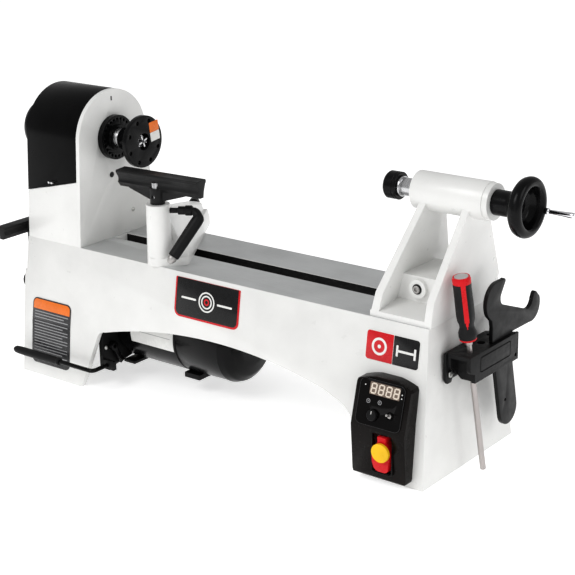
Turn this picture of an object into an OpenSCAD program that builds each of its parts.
// Benchtop wood lathe, built as an assembly of separate parts.
// X runs along the bed (headstock at -X), the operator stands at -Y, Z is up.
// The origin is the centre of the foot bolt pattern, on the underside of the feet.

/* [Bed] */
// Length of the bed at the ways
bed_len = 752; // [740:1:764]
// Width across the ways
bed_w = 170; // [166:1:174]
// Height of the ways above the bench
bed_h = 217; // [214:1:220]
// Width over the feet
foot_w = 232; // [226:1:238]
// Width of the slot between the ways
slot_w = 28; // [26:0.5:30]
// Thickness of the bed walls
wall = 9; // [7:0.5:11]
// Foot bolt spacing along the bed
foot_bolt_x = 660; // [650:1:670]
// Foot bolt spacing across the bed
foot_bolt_y = 172; // [164:1:180]

/* [Spindle] */
// Spindle axis above the ways (half of the swing)
swing_r = 159; // [155:0.5:163]
// Radius of the spindle journals
journal_r = 15; // [14:0.5:16]
// Radius of the faceplate
faceplate_r = 40; // [36:1:44]
// Radius of the circle of faceplate screw holes
faceplate_hole_r = 32.8; // [30:0.2:34]
// Number of index positions
index_count = 24; // [12:12:36]
// Radius of the index ring
index_r = 34.5; // [33:0.5:36]

/* [Headstock] */
// Right face of the headstock
head_x1 = -260; // [-262:1:-258]
// Left face of the headstock
head_x0 = -374; // [-376:1:-372]
// Radius of the arch over the spindle
arch_r = 74; // [72:1:76]

/* [Tailstock] */
// Left end of the tailstock base
tail_x0 = 281; // [279:1:283]
// Radius of the quill barrel
barrel_r = 26; // [25:0.5:27]
// Radius of the quill
quill_r = 12.5; // [11.5:0.5:13.5]
// Radius of the tailstock handwheel
wheel_r = 40; // [38:1:42]

/* [Banjo and rest] */
// Turn of the banjo about Z, in degrees
banjo_turn = 32.4; // [30:0.1:35]
// Radius of the tool rest post
post_r = 7.94; // [7.94:0.01:7.95]
// Length of the tool rest
rest_len = 150; // [146:1:154]
// Height of the top of the tool rest, with its post down
rest_top = 354; // [352:1:355]

/* [Motor] */
// Radius of the motor body
motor_r = 62; // [60:1:63]
// Height of the motor shaft
motor_z = 90; // [89:1:92]

/* [Hidden] */
$fn = 48;
gap = 0.3;                      // clearance between bodies that move past each other
fit = 0.04;                     // running clearance of a shaft in its bore
axis_z = bed_h + swing_r;       // height of the spindle axis
bed_x = bed_len / 2;
way_t = 16;                     // thickness of the ways
knee_z = 90;                    // height at which the flared walls turn steeper
knee_y = 106;                   // half width of the bed at that height
arch_c = 20;                    // middle of the arch under the bed
arch_big_r = 831;
arch_top = 126.5;
slot_x0 = -256;
slot_x1 = 360;
belt_x = -326;                  // plane of the drive belt
hinge_y = 83.6;                 // hinge of the belt cover
hinge_z = 320;
pivot_y = 78;                   // motor pivot shaft
pivot_z = 60;
hub_x = -107;                   // tool rest post socket
hub_y = -70;
hub_top = 308;
clamp_u = 74.6;                 // clamp bolt along the banjo, from the post socket
clamp_v = 13;                   // middle line of the banjo beside the post socket
clamp_x = hub_x - clamp_u * sin(banjo_turn) + clamp_v * cos(banjo_turn);
ecc_x = 332;                    // tailstock lock shaft
ecc_z = bed_h + 36;
tail_w = 96;                    // length of the tailstock base along X
crank_y = 31.2;                 // crank handle on the handwheel rim
crank_z = axis_z - 10.7;
box_x0 = 284;
box_x1 = 371;

// ---- helpers ----------------------------------------------------------
function arc(cx, cy, r, a0, a1, n = 8) =
    [for (i = [0:n]) let (a = a0 + (a1 - a0) * i / n) [cx + r * cos(a), cy + r * sin(a)]];
function front_y(z) =
    z > knee_z ? -bed_w / 2 - (knee_y - bed_w / 2) * (bed_h - z) / (bed_h - knee_z)
               : -knee_y - (foot_w / 2 - knee_y) * (knee_z - z) / knee_z;

// A cylinder along X from x0 to x1
module xcyl(r, x0, x1, y = 0, z = axis_z, r2 = -1) {
    translate([x0, y, z]) rotate([0, 90, 0])
        cylinder(r1 = r, r2 = r2 < 0 ? r : r2, h = x1 - x0);
}
// A cylinder along Y from y0 to y1
module ycyl(r, y0, y1, x, z, r2 = -1) {
    translate([x, y0, z]) rotate([-90, 0, 0])
        cylinder(r1 = r, r2 = r2 < 0 ? r : r2, h = y1 - y0);
}
// A block between two corners
module block(a, b) {
    translate(a) cube(b - a);
}
// A YZ outline extruded from x0 to x1
module yz(x0, x1) {
    translate([x0, 0, 0]) rotate([90, 0, 90]) linear_extrude(x1 - x0) children();
}
// An XZ outline extruded from y0 to y1
module xz(y0, y1) {
    translate([0, y1, 0]) rotate([90, 0, 0]) linear_extrude(y1 - y0) children();
}
// A revolved [radius, x] outline about the spindle axis
module lathe_x(points, y = 0, z = axis_z) {
    translate([0, y, z]) rotate([0, 90, 0]) rotate_extrude() polygon(points);
}
// A rounded rectangle centred on the origin
module round_rect(w, h, r) {
    polygon(concat(arc(w / 2 - r, h / 2 - r, r, 0, 90, 6), arc(r - w / 2, h / 2 - r, r, 90, 180, 6),
        arc(r - w / 2, r - h / 2, r, 180, 270, 6), arc(w / 2 - r, r - h / 2, r, 270, 360, 6)));
}
// Banjo frame: u back along the banjo, v to its right, z up
module in_banjo() {
    translate([hub_x, hub_y, 0]) rotate([0, 0, banjo_turn]) children();
}

// ---- bed --------------------------------------------------------------
module bed_section(d = 0, top = 0) {
    polygon([[-foot_w / 2 + d, -1], [-foot_w / 2 + d, 0], [-knee_y + d, knee_z],
        [-bed_w / 2 + d, bed_h - top], [bed_w / 2 - d, bed_h - top], [knee_y - d, knee_z],
        [foot_w / 2 - d, 0], [foot_w / 2 - d, -1]]);
}
module bed_profile() {
    polygon([[-bed_x - 1, 0], [-bed_x, bed_h], [bed_x, bed_h], [bed_x + 9, knee_z],
        [bed_x + 12, 0]]);
}
module arch_window() {
    half = 218;
    rise = acos(half / arch_big_r);
    polygon(concat([[-247, -2], [-239, 16]], arc(-200, 82, 15, 165, 105, 4),
        arc(arch_c, arch_top - arch_big_r, arch_big_r, 180 - rise, rise + 1.4, 22),
        arc(228, 51, 45, 80, 0, 7), [[276, -2]]));
}
module bed() {
    color("whitesmoke") {
        difference() {
            intersection() {
                yz(-bed_x - 2, bed_x + 14) bed_section();
                xz(-foot_w, foot_w) bed_profile();
            }
            yz(-bed_x + wall, bed_x - wall) bed_section(wall, way_t);
            yz(-bed_x - 5, -bed_x + wall + 1) intersection() {
                bed_section(wall, way_t);
                translate([-150, -5]) square([300, 170]);
            }
            xz(-foot_w, foot_w) arch_window();
            block([slot_x0, -slot_w / 2, bed_h - way_t - 1], [slot_x1, slot_w / 2, bed_h + 1]);
            block([belt_x - 29, -62, bed_h - way_t - 1], [belt_x + 29, 62, bed_h + 1]);
            for (y = [-30, 30])
                translate([head_x1 - 15, y, bed_h - way_t - 1]) cylinder(r = 4.2, h = way_t + 2);
            ycyl(6.2, 90, 130, 300, 34);
            for (y = [-52, 60]) xcyl(2.6, bed_x - wall - 1, bed_x + 20, y, 147);
        }
        for (x = [70, 215]) difference() {
            yz(x, x + wall) intersection() {
                bed_section(wall - 0.5, way_t);
                translate([-100, 132]) square([200, 42]);
            }
        }
        for (sx = [-1, 1]) for (sy = [-1, 1]) translate([sx * foot_bolt_x / 2, sy * 86, 0])
            difference() {
                translate([-24, sy > 0 ? -18 : -23, 0]) cube([48, 41, 12]);
                translate([0, sy * (foot_bolt_y / 2 - 86), -1]) cylinder(r = 5.25, h = 14);
            }
        xyz_lug(-bed_x - 5, 84, 101.5, 7, [11, 20]);
    }
}
// Lug for the side door's hinge pin
module xyz_lug(x, y, z, h, size) {
    difference() {
        union() {
            translate([x, y, z]) cylinder(r = 4, h = h);
            translate([x, y - 1, z]) cube([size[0], size[1], h]);
        }
        translate([x, y, z - 1]) cylinder(r = 2, h = h + 2);
    }
}
// ---- headstock --------------------------------------------------------
// Tombstone outline, inset by d
module tomb(d = 0, low = 0) {
    r = arch_r - d;
    polygon(concat([[bed_w / 2 - d, bed_h + low]], arc(0, axis_z, r, 0, 180, 40),
        [[-bed_w / 2 + d, bed_h + low]]));
}
// Region above the slanted lower edge of the belt cover
module cover_zone(shift = 0, x1 = head_x1 - 7) {
    xz(-200, 200) polygon([[head_x0 - 2, 291.5 + shift], [x1, 318.2 + shift], [x1, 500],
        [head_x0 - 2, 500]]);
}
module headstock() {
    core_r = 51;
    color("whitesmoke") difference() {
        union() {
            difference() {
                yz(head_x0, head_x1) tomb();
                cover_zone(-0.4);
                block([head_x0 + 18, -68, bed_h - 1], [head_x1 - 36, 68, axis_z + 80]);
            }
            for (x = [[head_x0, head_x0 + 18], [head_x1 - 36, head_x1 - 6]])
                yz(x[0], x[1]) polygon(concat([[core_r, 285]], arc(0, axis_z, core_r, 0, 180, 30),
                    [[-core_r, 285]]));
            for (x = [head_x0 + 32, head_x0 + 72]) yz(x, x + 5) polygon([[77, 272], [84, 280],
                [hinge_y + 5, hinge_z], [hinge_y + 3, hinge_z + 4], [hinge_y - 2.5, hinge_z + 3.5],
                [79.9, hinge_z], [79.9, 290], [79, 284], [77, 284]]);
        }
        for (x = [head_x0 + 31, head_x0 + 71]) xcyl(2.5, x, x + 7, hinge_y, hinge_z);
        xcyl(26, head_x0 - 1, head_x0 + 15);
        xcyl(31, head_x1 - 22, head_x1 + 1);
        xcyl(20, head_x0 - 1, head_x1 + 1);
        xcyl(4, head_x1 - 14, head_x1 + 1, -8, 317);
        for (y = [-30, 30]) translate([head_x1 - 15, y, bed_h - 1]) cylinder(r = 4, h = 26);
    }
}
module headstock_bolts() {
    color("dimgray") for (y = [-30, 30]) translate([head_x1 - 15, y, 0]) {
        translate([0, 0, bed_h - way_t - 8]) cylinder(r = 6.5, h = 8);
        translate([0, 0, bed_h - way_t]) cylinder(r = 3.95, h = way_t + 20);
    }
}
module bearing(outer, inner, x0, width) {
    difference() {
        xcyl(outer, x0, x0 + width);
        xcyl(inner, x0 - 1, x0 + width + 1);
    }
}
module spindle_bearings() {
    color("silver") {
        bearing(26, journal_r + fit, head_x0, 15);
        bearing(31, journal_r + fit, head_x1 - 22, 16);
    }
}
module hinge_pins() {
    color("silver") {
        xcyl(2.5, head_x0 + 12, head_x0 + 39, hinge_y, hinge_z);
        xcyl(2.5, head_x0 + 70, head_x0 + 98, hinge_y, hinge_z);
        translate([-bed_x - 5, 84, 64]) cylinder(r = 2, h = 82);
    }
}
module belt_cover() {
    color([0.05, 0.05, 0.05]) difference() {
        union() {
            intersection() {
                difference() {
                    yz(head_x0, head_x1 - 7.4) tomb();
                    yz(head_x0 - 1, head_x1) tomb(3, -2);
                }
                cover_zone(0.4, head_x1 - 7.4);
            }
            for (x = [head_x0 + 13, head_x0 + 78]) {
                xcyl(5, x, x + 18, hinge_y, hinge_z);
                yz(x, x + 18) polygon([[hinge_y + 4.6, hinge_z + 1], [hinge_y - 4, hinge_z],
                    [76.6, hinge_z + 4], [75.6, hinge_z + 22], [77.4, hinge_z + 20]]);
            }
        }
        xcyl(2.5 + fit, head_x0, head_x1, hinge_y, hinge_z);
        for (x = [-322, -316]) ycyl(1.8, -90, -77, x, 312);
    }
}
module cover_latch() {
    color([0.08, 0.08, 0.08]) for (x = [-322, -316]) ycyl(1.8, -84.5, -78, x, 312);
}

// ---- spindle ----------------------------------------------------------
module spindle() {
    color("silver") difference() {
        union() {
            xcyl(journal_r, -380, -236);
            xcyl(12, -419, -380);
            xcyl(12.6, -236, -214);
        }
        xcyl(4.8, -420, -210);
        xcyl(7.0, -262, -213.9, r2 = 8.9);
    }
}
module spindle_pulley() {
    steps = [[-353, 24], [-335, 33], [-317, 42]];
    color("gray") difference() {
        for (s = steps) difference() {
            xcyl(s[1] + 3, s[0], s[0] + 18);
            groove(s[0] + 9, s[1]);
        }
        xcyl(journal_r, -354, -290);
    }
}
// Flat-bottomed belt groove of radius r centred on x
module groove(x, r) {
    lathe_x([[r, x - 4.6], [r + 9, x - 6], [r + 9, x + 5], [r, x + 4.6]]);
}
module index_ring() {
    color([0.06, 0.06, 0.06]) difference() {
        union() {
            xcyl(index_r, -259.5, -250);
            xcyl(20, -250, -246);
        }
        xcyl(journal_r, -260, -240);
        for (i = [0:index_count - 1]) translate([0, 0, axis_z]) rotate([i * 360 / index_count, 0, 0])
            translate([-256, 0, 29]) rotate([0, 90, 0]) cylinder(r = 2, h = 10, $fn = 20);
    }
}
module outboard_handwheel() {
    color([0.06, 0.06, 0.06]) lathe_x([[12, -381], [20, -381], [22, -392], [34, -398], [41, -404],
        [42, -411], [39, -418], [33, -420], [28, -416], [26, -408], [17, -404], [12, -404]]);
}
module faceplate() {
    color([0.1, 0.1, 0.1]) difference() {
        union() {
            xcyl(17, -236, -202);
            xcyl(faceplate_r, -203, -195);
        }
        xcyl(12.6, -240, -190);
        for (i = [0:7]) translate([0, 0, axis_z]) rotate([i * 45 + 22.5, 0, 0])
            translate([-205, 0, faceplate_hole_r]) rotate([0, 90, 0]) cylinder(r = 3, h = 12);
        for (a = [100, 190]) translate([-219, 0, axis_z]) rotate([a, 0, 0])
            translate([0, 0, 11]) cylinder(r = 2.5, h = 8);
    }
}
module spur_center() {
    color("silver") {
        xcyl(7.0, -262, -213.9, r2 = 8.9);
        xcyl(9.5, -213.9, -203);
        xcyl(3.4, -203, -190, r2 = 0.4);
        for (i = [0:3]) translate([-203, 0, axis_z]) rotate([i * 90 + 20, 0, 0])
            translate([0, -1.2, 3]) cube([6, 2.4, 6]);
    }
}
// ---- drive ------------------------------------------------------------
// Belt loop outline round two pulleys of radius ra and rb
module loop(ra, rb, h) {
    rise = asin((ra - rb) / h);
    polygon(concat(arc(0, h, ra, -rise, 180 + rise, 20), arc(0, 0, rb, 180 + rise, 360 - rise, 20)));
}
module drive_belt() {
    h = axis_z - motor_z;
    color([0.05, 0.05, 0.05]) translate([0, 0, motor_z]) difference() {
        yz(belt_x - 4, belt_x + 4) loop(36.6, 36.6, h);
        yz(belt_x - 5, belt_x + 5) loop(33.2, 33.2, h);
    }
}
module motor_plate() {
    color([0.07, 0.07, 0.07]) difference() {
        union() {
            yz(-226, -219) polygon([[-92, 30], [-70, 27], [70, 48], [90, 48], [90, 72], [66, 84],
                [60, 152], [-60, 152], [-92, 96]]);
            xcyl(12, -234, -200, pivot_y, pivot_z);
            block([-219, -92, 30], [-198, -85, 44]);
            block([-219, -46, 27], [-196, 40, 31]);
        }
        xcyl(6 + fit, -240, -190, pivot_y, pivot_z);
        xcyl(22, -240, -210, 0, motor_z);
        xcyl(motor_r, -219, -190, 0, motor_z);
    }
}
module motor_pivot_shaft() {
    color("silver") {
        xcyl(6, -262, -186, pivot_y, pivot_z);
        for (x = [-262, -194]) block([x, pivot_y - 8, pivot_z - 8], [x + 8, 99, pivot_z + 8]);
    }
}
module tension_handle() {
    color([0.07, 0.07, 0.07]) {
        xcyl(3.4, -372, -205, -130, 40);
        translate([-205, -130, 40]) sphere(r = 3.4);
        ycyl(3.4, -130, -94, -205, 40);
        block([-212, -98, 33], [-198, -92, 48]);
    }
}
module tension_grip() {
    color([0.06, 0.06, 0.06]) difference() {
        union() {
            xcyl(6.4, -372, -276, -130, 40);
            translate([-372, -130, 40]) sphere(r = 6.4);
        }
        xcyl(3.4, -372, -270, -130, 40);
        translate([-372, -130, 40]) sphere(r = 3.4);
    }
}
module motor_shell() {
    color([0.08, 0.08, 0.08]) difference() {
        union() {
            xcyl(motor_r, -219, -94, 0, motor_z);
            xcyl(motor_r - 1, -94, -12, 0, motor_z);
        }
        xcyl(motor_r - 5, -214, -11, 0, motor_z);
        xcyl(15.04, -220, -213, 0, motor_z);
    }
}
module motor_fan_cover() {
    color([0.06, 0.06, 0.06]) difference() {
        lathe_x([[0, 12], [30, 12], [48, 8], [58, 0], [motor_r, -12], [motor_r - 3, -12],
            [55, 0], [46, 5], [30, 9], [0, 9]], 0, motor_z);
        for (i = [0:11]) translate([0, 0, motor_z]) rotate([i * 30, 0, 0])
            translate([6, -2, 20]) cube([12, 4, 18]);
    }
}
module motor_terminal_box() {
    color([0.07, 0.07, 0.07]) difference() {
        block([-100, -36, 25], [-70, -8, 33]);
        xcyl(motor_r, -101, -94, 0, motor_z);
        xcyl(motor_r - 1, -95, -50, 0, motor_z);
    }
}
module motor_lock_lever() {
    color([0.1, 0.1, 0.1]) difference() {
        union() {
            xcyl(7, -219, -211, -72, 62);
            translate([-215, -72, 62]) rotate([28, 0, 0]) translate([-3, -4, -34]) cube([6, 8, 32]);
        }
        xcyl(3, -220, -210, -72, 62);
    }
}
module motor_rotor() {
    color("silver") {
        xcyl(15, -219, -200, 0, motor_z);
        xcyl(40, -190, -60, 0, motor_z);
        xcyl(8, -352, -6, 0, motor_z);
        for (i = [0:5]) translate([0, 0, motor_z]) rotate([i * 60, 0, 0])
            translate([-30, -1.5, 6]) cube([18, 3, 38]);
    }
}
module motor_pulley() {
    steps = [[-353, 42], [-335, 33], [-317, 24]];
    color("gray") difference() {
        for (s = steps) difference() {
            xcyl(s[1] + 3, s[0], s[0] + 18, 0, motor_z);
            translate([0, 0, motor_z - axis_z]) groove(s[0] + 9, s[1]);
        }
        xcyl(8, -354, -290, 0, motor_z);
    }
}

// ---- left end ---------------------------------------------------------
module side_door() {
    color("whitesmoke") difference() {
        union() {
            yz(-bed_x - 4.5, -bed_x - 1.5) polygon([[-108, 26], [-103, 90], [-93, 164], [79.5, 164],
                [79.5, 26]]);
            for (z = [66, 109.5]) {
                translate([-bed_x - 5, 84, z]) cylinder(r = 4, h = 34.5);
                block([-bed_x - 4.5, 78, z], [-bed_x - 1.5, 82, z + 34.5]);
            }
        }
        translate([-bed_x - 5, 84, 10]) cylinder(r = 2 + fit, h = 200);
        xcyl(4 + fit, -bed_x - 6, -bed_x, -78, 142);
    }
}
module side_door_knob() {
    color([0.05, 0.05, 0.05]) {
        lathe_x([[0, -393], [6, -392.4], [11, -390], [14, -386], [15, -381], [0, -381]], -78, 142);
        xcyl(4, -381, -bed_x - 1.2, -78, 142);
    }
}
module spare_rest_bracket() {
    color([0.06, 0.06, 0.06]) difference() {
        union() {
            translate([-399, -46, 192]) cylinder(r = 15, h = 24);
            block([-388, -58, 199], [-bed_x - 0.1, -34, 215]);
        }
        translate([-399, -46, 190]) cylinder(r = 8 + fit, h = 30);
    }
}
// Tool rest cross-section: a hollow-fronted blade with a round bead on top
module rest_section() {
    polygon(concat([[-4, 0]], [[4, 0], [5, 8], [9, 20]], arc(7.5, 23.5, 3.5, -30, 120, 5),
        [[-9, 26]], arc(-10.5, 23.6, 2.5, 90, 240, 4), arc(-16, 12, 8.5, 50, -35, 6)));
}
module rest_blade(len) {
    translate([-len / 2, 0, 0]) rotate([90, 0, 90]) linear_extrude(len) rest_section();
}
module spare_tool_rest() {
    color([0.07, 0.07, 0.07]) {
        translate([-399, -46, 216 + gap]) rotate([0, 0, 90]) intersection() {
            rest_blade(rest_len);
            translate([-100, -9, -1]) cube([200, 30, 21]);
        }
        translate([-399, -46, 170]) cylinder(r = 8, h = 50);
    }
}

// ---- banjo and tool rest ----------------------------------------------
// Foot outline in the banjo frame: x is v (right), y is u (back)
module banjo_plan(d = 0) {
    polygon(concat([[-18 + d, -6], [-10, -19 + d], [10, -19 + d], [40 - d, -9 + d], [44 - d, -4]],
        arc(13, 205, 31 - d, 0, 180, 16)));
}
module banjo() {
    color("whitesmoke") difference() {
        union() {
            in_banjo() translate([0, 0, bed_h]) hull() {
                linear_extrude(12) banjo_plan();
                translate([0, 0, 12]) linear_extrude(12) translate([13, 110]) square([54, 200], center = true);
            }
            in_banjo() translate([0, 0, bed_h]) hull() {
                translate([0, 0, 5]) linear_extrude(1) translate([13, 108]) square([50, 200], center = true);
                translate([-14, 0, 74]) cube([28, 40, 1]);
                translate([13, 200, 30]) cylinder(r = 20, h = 4, $fn = 32);
            }
            translate([hub_x, hub_y, bed_h]) cylinder(r1 = 19.5, r2 = 17.7, h = hub_top - bed_h);
        }
        translate([hub_x, hub_y, bed_h - 1]) cylinder(r = post_r + fit, h = 100);
        in_banjo() translate([clamp_v - 7, 30, bed_h - 1]) cube([14, 165, 26]);
        in_banjo() translate([clamp_v, 22, bed_h + 24]) rotate([-90, 0, 0]) cylinder(r = 9, h = 174);
        in_banjo() translate([clamp_v, 14, bed_h + 24]) rotate([-90, 0, 0])
            cylinder(r = 4.9 + fit, h = 300);
        in_banjo() translate([0, 0, 298]) rotate([0, 90, 0]) cylinder(r = 4.1, h = 60);
    }
}
module banjo_clamp() {
    color("dimgray") {
        translate([clamp_x, 0, 0]) {
            translate([-28, -34, bed_h - way_t - 14]) cube([56, 68, 13.5]);
            translate([0, 0, bed_h - way_t - 20]) cylinder(r = 10, h = 8, $fn = 6);
            translate([0, 0, bed_h - way_t - 14]) cylinder(r = 6, h = way_t + 26);
        }
    }
}
module banjo_slide_block() {
    color("dimgray") in_banjo() difference() {
        translate([clamp_v, clamp_u - 12, bed_h + 24]) rotate([-90, 0, 0]) cylinder(r = 8.6, h = 24);
        translate([clamp_v, clamp_u - 13, bed_h + 24]) rotate([-90, 0, 0]) cylinder(r = 5.2, h = 26);
        translate([clamp_v, clamp_u, bed_h]) cylinder(r = 6 + fit, h = 17);
    }
}
module banjo_lock_lever() {
    color([0.12, 0.12, 0.12]) in_banjo() translate([clamp_v, 0, bed_h + 24]) {
        translate([0, 15, 0]) rotate([-90, 0, 0]) cylinder(r = 4.9, h = 235);
        translate([0, 238, 0]) rotate([-90, 0, 0]) cylinder(r = 8.5, h = 13);
        translate([0, 244.5, 0]) rotate([180, 0, 0]) cylinder(r = 5, h = 62);
        translate([0, 244.5, 0]) rotate([180, 0, 0]) translate([0, 0, 30]) cylinder(r = 7.5, h = 52);
    }
}
module post_lock_lever() {
    grip_from = [61, -5, 288];
    grip_to = [18, -31, 226];
    d = grip_to - grip_from;
    color([0.08, 0.08, 0.08]) in_banjo() {
        translate([10, 0, 298]) rotate([0, 90, 0]) cylinder(r = 4, h = 20);
        translate([30, 0, 298]) rotate([0, 90, 0]) cylinder(r = 6.2, h = 20);
        hull() {
            translate([48, 0, 298]) sphere(r = 5, $fn = 24);
            translate(grip_from) sphere(r = 5, $fn = 24);
        }
        translate(grip_from) rotate([0, acos(d[2] / norm(d)), atan2(d[1], d[0])]) {
            cylinder(r1 = 8, r2 = 9, h = 8);
            translate([0, 0, 8]) cylinder(r = 9, h = norm(d) - 18);
            translate([0, 0, norm(d) - 10]) cylinder(r1 = 7, r2 = 4, h = 10);
        }
    }
}
module tool_rest_post() {
    color("silver") translate([hub_x, hub_y, bed_h + 22]) cylinder(r = post_r, h = 102);
}
module tool_rest() {
    color([0.1, 0.1, 0.1]) translate([hub_x, hub_y, 0]) rotate([0, 0, 3.4]) difference() {
        union() {
            translate([6, 2, rest_top - 27]) rest_blade(rest_len);
            translate([0, 0, hub_top + 1]) cylinder(r = 11, h = 24);
            hull() {
                translate([-13, -3, hub_top + 6]) cube([26, 6, 1]);
                translate([-52, -2, rest_top - 28]) cube([104, 6, 2]);
            }
        }
        translate([0, 0, hub_top - 5]) cylinder(r = post_r + fit, h = 38.5);
        translate([0, -20, hub_top + 12]) rotate([-90, 0, 0]) cylinder(r = 3, h = 40);
    }
}

// ---- tailstock --------------------------------------------------------
// Transverse rib seen along X: wide at the base, narrow under the barrel
module rib_outline() {
    polygon([[-82, bed_h], [-82, bed_h + 35], [-22, axis_z - 6], [22, axis_z - 6],
        [82, bed_h + 35], [82, bed_h]]);
}
module tailstock() {
    web = 52;
    color("whitesmoke") difference() {
        union() {
            xcyl(barrel_r, 305, 414);
            xcyl(barrel_r - 1.5, 413, 422);
            intersection() {
                yz(200, 450) rib_outline();
                union() {
                    xz(-100, 100) polygon([[tail_x0, bed_h], [tail_x0 + 12, bed_h], [tail_x0 + 52, axis_z],
                        [tail_x0 + 42, axis_z]]);
                    xz(-100, 100) polygon([[tail_x0 + tail_w - 11, bed_h], [tail_x0 + tail_w, bed_h],
                        [tail_x0 + tail_w + 20.5, axis_z], [tail_x0 + tail_w + 10.5, axis_z]]);
                }
            }
            hull() {
                block([tail_x0, -82, bed_h], [tail_x0 + tail_w, 82, bed_h + 8]);
                block([tail_x0 + 6, -44, bed_h + 8], [tail_x0 + tail_w, 44, bed_h + 16]);
            }
            block([tail_x0 + 10, -40, bed_h], [tail_x0 + tail_w - 2, 40, bed_h + web]);
            ycyl(13, -46, -38, ecc_x, ecc_z);
        }
        xcyl(quill_r + fit, 300, 399);
        xcyl(7, 390, 425);
        ycyl(7 + fit, -60, 60, ecc_x, ecc_z);
        block([ecc_x - 13, -13, bed_h - 1], [ecc_x + 13, 13, ecc_z + 13]);
        ycyl(3.54, 0, 40, 352, axis_z);
    }
}
module tailstock_clamp() {
    color("dimgray") translate([ecc_x, 0, 0]) {
        translate([-26, -34, bed_h - way_t - 14]) cube([52, 68, 13.5]);
        translate([0, 0, bed_h - way_t - 20]) cylinder(r = 10, h = 8, $fn = 6);
        translate([0, 0, bed_h - way_t - 14]) cylinder(r = 6, h = way_t + 42);
        difference() {
            translate([-10, -11, ecc_z - 10]) cube([20, 22, 20]);
            translate([0, -20, ecc_z]) rotate([-90, 0, 0]) cylinder(r = 7.4, h = 40);
        }
    }
}
module tailstock_lock_lever() {
    color([0.1, 0.1, 0.1]) {
        difference() {
            ycyl(7, -47, 90, ecc_x, ecc_z);
            translate([ecc_x, -48, ecc_z]) rotate([-90, 0, 0]) cylinder(r = 3, h = 6, $fn = 6);
        }
        ycyl(10, 86, 100, ecc_x, ecc_z);
        translate([ecc_x, 93, ecc_z]) rotate([0, 12, 0]) {
            cylinder(r = 4.5, h = 40);
            translate([0, 0, 20]) cylinder(r = 7, h = 40);
        }
    }
}
module quill() {
    color("silver") difference() {
        xcyl(quill_r, 280, 382);
        xcyl(7.0, 318, 383);
        xcyl(8.9, 279.9, 318.1, r2 = 7.2);
    }
}
module live_center_shank() {
    color("silver") {
        xcyl(8.9, 280, 318, r2 = 7.2);
        xcyl(14, 276, 280);
        xcyl(5, 262, 276);
    }
}
module live_center_head() {
    color([0.06, 0.06, 0.06]) {
        difference() {
            xcyl(19, 257, 276 - gap);
            xcyl(14, 256, 260);
            xcyl(5 + fit, 261.5, 277);
        }
        xcyl(0.5, 255, 260.5, r2 = 6);
    }
}
module tail_handwheel() {
    color([0.07, 0.07, 0.07]) {
        lathe_x([[6.2, 422 + gap], [17, 422 + gap], [17, 446], [21, 450], [33, 457], [38.5, 462], [wheel_r, 467],
            [wheel_r, 471], [37.5, 475], [32, 477], [27.5, 476], [26, 470], [21, 459], [6.2, 456]]);
        xcyl(7 - fit, 333, 456);
    }
}
module crank_handle() {
    color("silver") {
        xcyl(2.9, 477.3, 519, crank_y, crank_z, r2 = 4);
        xcyl(4.4, 478, 482, crank_y, crank_z);
    }
}
module quill_lock_knob() {
    color([0.1, 0.1, 0.1]) {
        ycyl(3.5, 13, 36, 352, axis_z);
        ycyl(11, 28, 42, 352, axis_z);
        ycyl(6, 26.4, 28, 352, axis_z);
    }
}

// ---- control box ------------------------------------------------------
box_top = 147;
paddle_x = 335.5;                  // middle of the rocker switch
key_x = 338;                     // middle of its pull-out key
module box_side(d = 0) {
    polygon([[front_y(10) - 0.2, 10 + d], [-131 + d, 10 + d], [-134 + d, 80], [-115 + d, box_top - d],
        [front_y(box_top) - 0.2, box_top - d], [front_y(knee_z) - 0.2, knee_z]]);
}
module box_front() {
    mid = (box_x0 + box_x1) / 2;
    polygon(concat([[box_x0 + 5, 0], [box_x0 + 1.5, 14]], [[box_x0 + 1, 136]],
        [for (i = [-6:6]) [mid + i * 6.9, box_top + 1 - i * i * 0.22]], [[box_x1, 136], [box_x1, 14],
        [box_x1 - 3, 0]]));
}
module control_box() {
    color([0.1, 0.07, 0.05]) difference() {
        intersection() {
            yz(box_x0 - 2, box_x1 + 2) box_side();
            xz(-160, -80) box_front();
        }
        intersection() {
            yz(box_x0 + 4, box_x1 - 4) polygon([[-95, 12], [-126, 12], [-129, 78], [-112, 138], [-95, 138]]);
            xz(-160, -80) polygon([[box_x0, 12], [box_x0, 138], [box_x1, 138], [box_x1, 12]]);
        }
        block([paddle_x - 15.5, -140, 20], [paddle_x + 15.5, -119, 75.5]);
        xcyl(1.6 + fit, paddle_x - 17.6, paddle_x + 17.6, -130.1, 47);
        fascia_holes();
    }
}
// Frame of the sloping fascia: x along X, y up the slope, origin at its middle
module on_fascia() {
    tilt = atan2(19, 67);
    translate([(box_x0 + box_x1) / 2, -124.8, 113.5]) rotate([90 - tilt, 0, 0]) children();
}
knob_at = [-9, -16];             // speed knob and direction switch on the fascia
toggle_at = [17, -12];
module fascia_holes() {
    on_fascia() translate([knob_at[0], knob_at[1], -12]) cylinder(r = 3 + fit, h = 20);
    on_fascia() translate([toggle_at[0], toggle_at[1], -12]) cylinder(r = 4.5, h = 20);
}
module control_fascia() {
    color([0.03, 0.03, 0.03]) difference() {
        on_fascia() linear_extrude(1.2) round_rect(71, 62, 8);
        on_fascia() translate([4, 19.5, -1]) linear_extrude(3) round_rect(48.4, 17.4, 1.5);
        fascia_holes();
    }
}
module speed_display() {
    color([0.55, 0.5, 0.42]) on_fascia() translate([4, 19.5, 0]) linear_extrude(1)
        round_rect(48, 17, 1.5);
}
module speed_knob() {
    color([0.05, 0.05, 0.05]) on_fascia() translate([knob_at[0], knob_at[1], 0]) {
        translate([0, 0, -8]) cylinder(r = 3, h = 10);
        translate([0, 0, 1.5]) cylinder(r1 = 8, r2 = 7.4, h = 4.5);
    }
}
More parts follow.
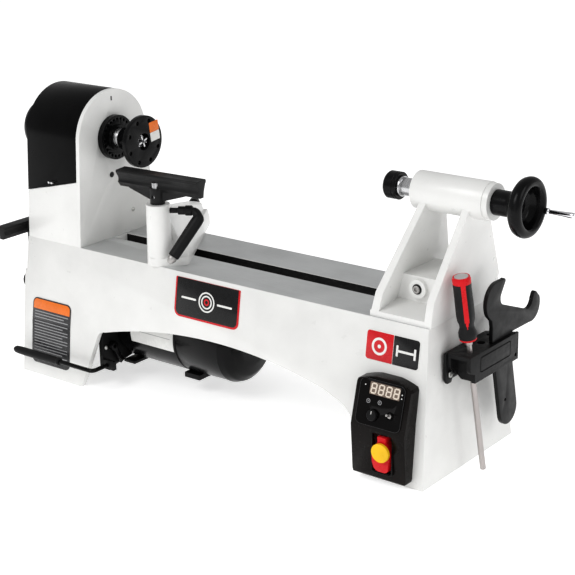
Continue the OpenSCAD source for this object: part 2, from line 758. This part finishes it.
module direction_switch() {
    color("silver") on_fascia() translate([toggle_at[0], toggle_at[1], 0]) {
        sphere(r = 3.6);
        rotate([-14, 0, 0]) cylinder(r1 = 1.3, r2 = 1.9, h = 9);
        rotate([-14, 0, 0]) translate([0, 0, 9]) sphere(r = 1.9);
    }
}
module switch_paddle() {
    color([0.75, 0.04, 0.04]) difference() {
        intersection() {
            yz(paddle_x - 15, paddle_x + 15)
                polygon([[-121, 25], [-135.5, 22], [-138.5, 36], [-136.5, 50], [-137, 73], [-121, 73]]);
            xz(-140, -120) polygon(concat([[paddle_x - 5, 74], [paddle_x - 5, 65]],
                arc(paddle_x, 48, 14.5, 140, 190, 5), arc(paddle_x - 4, 30, 8, 190, 270, 5),
                arc(paddle_x + 4, 30, 8, -90, -10, 5), arc(paddle_x, 48, 14.5, -10, 40, 5),
                [[paddle_x + 8, 65], [paddle_x + 8, 74]]));
        }
        block([key_x - 4.3, -150, 50.2], [key_x + 4.3, -129, 55.8]);
    }
    color("dimgray") xcyl(1.6, paddle_x - 17.5, paddle_x + 17.5, -130.1, 47);
}
module safety_key() {
    color([0.9, 0.65, 0.1]) {
        ycyl(13.6, -143, -139, key_x, 53);
        block([key_x - 4, -139.5, 50.5], [key_x + 4, -130, 55.5]);
    }
}

// ---- plates -----------------------------------------------------------
// A plate of thickness t lying on the upper front wall, its outline in [x, height up the wall]
module on_front(t = 1.2) {
    lean = atan2(knee_y - bed_w / 2, bed_h - knee_z);
    translate([0, -bed_w / 2 - 0.02, bed_h]) rotate([90 - lean, 0, 0]) linear_extrude(t) children();
}
module shield_badge() {
    color([0.08, 0.08, 0.08]) on_front() polygon(concat([[61, -7], [-61, -7]],
        arc(-51, -56, 10, 180, 270, 6), arc(51, -56, 10, 270, 360, 6)));
}
module size_badge() {
    color([0.8, 0.08, 0.1]) on_front() translate([324, -37]) round_rect(86, 42, 5);
}
module info_plate() {
    color([0.1, 0.1, 0.1]) intersection() {
        xz(-140, -80) translate([-315, 72]) round_rect(84, 106, 9);
        difference() {
            yz(-360, -270) polygon([[front_y(10) - 1.2, 10], [front_y(knee_z) - 1.2, knee_z],
                [front_y(140) - 1.2, 140], [-80, 140], [-80, 10]]);
            yz(-361, -269) polygon([[front_y(5) - 0.02, 5], [front_y(knee_z) - 0.02, knee_z],
                [front_y(145) - 0.02, 145], [-60, 145], [-60, 5]]);
        }
    }
}
module cable_gland() {
    color([0.05, 0.05, 0.05]) difference() {
        union() {
            ycyl(6, 96, 115, 300, 34);
            ycyl(9.5, 113.4, 120, 300, 34);
        }
        ycyl(3.6, 90, 130, 300, 34);
    }
}

// ---- tool holder at the right end --------------------------------------
holder_x = 383.7;
holder_front = 423;
// Frame of the knock-out rod, its foot at the origin, leaning back along its own axis
module on_rod() {
    translate([419, -13, 3]) rotate([7.8, -3.2, 0]) children();
}
// Frame of the wrench: x across, y up its handle, z towards +X
module on_wrench() {
    translate([412, 58, 50]) rotate([12.4, 0, 0]) rotate([90, 0, 90]) children();
}
module tool_holder() {
    color([0.09, 0.09, 0.09]) difference() {
        union() {
            yz(holder_x, holder_x + 4) polygon([[-61, 141], [-56, 134], [-47, 134], [-44, 140],
                [52, 140], [56, 134], [63, 134], [68, 141], [68, 178], [-61, 178]]);
            yz(holder_x + 1, holder_front) polygon([[-57, 178], [-57, 160], [-54, 155], [-45, 151],
                [-45, 139], [67, 139], [67, 178]]);
        }
        translate([holder_front, 0, 120]) rotate([0, 0, 30]) translate([-30, 58, 0]) cube([60, 40, 80]);
        block([holder_x + 9, -60, 130], [holder_front - 6, -41, 172]);
        xz(-70, 70) polygon([[holder_x + 4, 130], [holder_x + 4, 150], [holder_x + 24, 130]]);
        on_rod() cylinder(r = 4 + fit, h = 250);
        for (h = [[403, 2, 5.5], [396, -22, 3.5], [396, 34, 3.5]])
            translate([h[0], h[1], 160]) cylinder(r = h[2], h = 30);
        on_wrench() translate([-22.5, 30, -0.5]) cube([45, 160, 7]);
        for (y = [-52, 60]) xcyl(2.6, 380, 430, y, 147);
    }
}
module holder_screws() {
    color("silver") for (y = [-52, 60]) {
        xcyl(2.5, holder_x - 8, holder_x + 4, y, 147);
        xcyl(4.5, holder_x + 4, holder_x + 7, y, 147);
    }
}
module knockout_rod() {
    color([0.7, 0.7, 0.7]) on_rod() {
        cylinder(r = 4, h = 200);
        translate([0, 0, 195]) cylinder(r = 12.4, h = 92);
    }
}
module wrench() {
    color([0.07, 0.07, 0.07]) on_wrench() linear_extrude(6) difference() {
        polygon(concat(arc(0, 18, 22, 180, 360, 16), [[22, 127.6], [37, 125]],
            arc(84, 137, 23, -115, 10, 12), arc(96, 149, 4.5, 20, 150, 5), arc(76, 151, 13, -20, -125, 8),
            arc(20, 187, 12, -130, -215, 7), arc(21, 209, 4, -20, 110, 5), arc(-1, 190, 27, 80, 205, 12),
            [[-18, 168], [-18, 158], [-22, 141]]));
        translate([-6, 37]) circle(r = 2.2);
    }
}

bed();
headstock();
headstock_bolts();
spindle_bearings();
hinge_pins();
motor_pivot_shaft();
cable_gland();
spare_rest_bracket();
tool_holder();
holder_screws();
control_box();
control_fascia();
speed_display();
shield_badge();
size_badge();
info_plate();
belt_cover();
cover_latch();
spindle();
spindle_pulley();
index_ring();
outboard_handwheel();
faceplate();
spur_center();
drive_belt();
motor_plate();
tension_handle();
tension_grip();
motor_shell();
motor_fan_cover();
motor_terminal_box();
motor_lock_lever();
motor_rotor();
motor_pulley();
side_door();
side_door_knob();
spare_tool_rest();
banjo_clamp();
banjo_slide_block();
banjo();
banjo_lock_lever();
post_lock_lever();
tool_rest_post();
tool_rest();
tailstock();
tailstock_clamp();
tailstock_lock_lever();
quill();
live_center_shank();
live_center_head();
tail_handwheel();
crank_handle();
quill_lock_knob();
knockout_rod();
wrench();
switch_paddle();
safety_key();
speed_knob();
direction_switch();
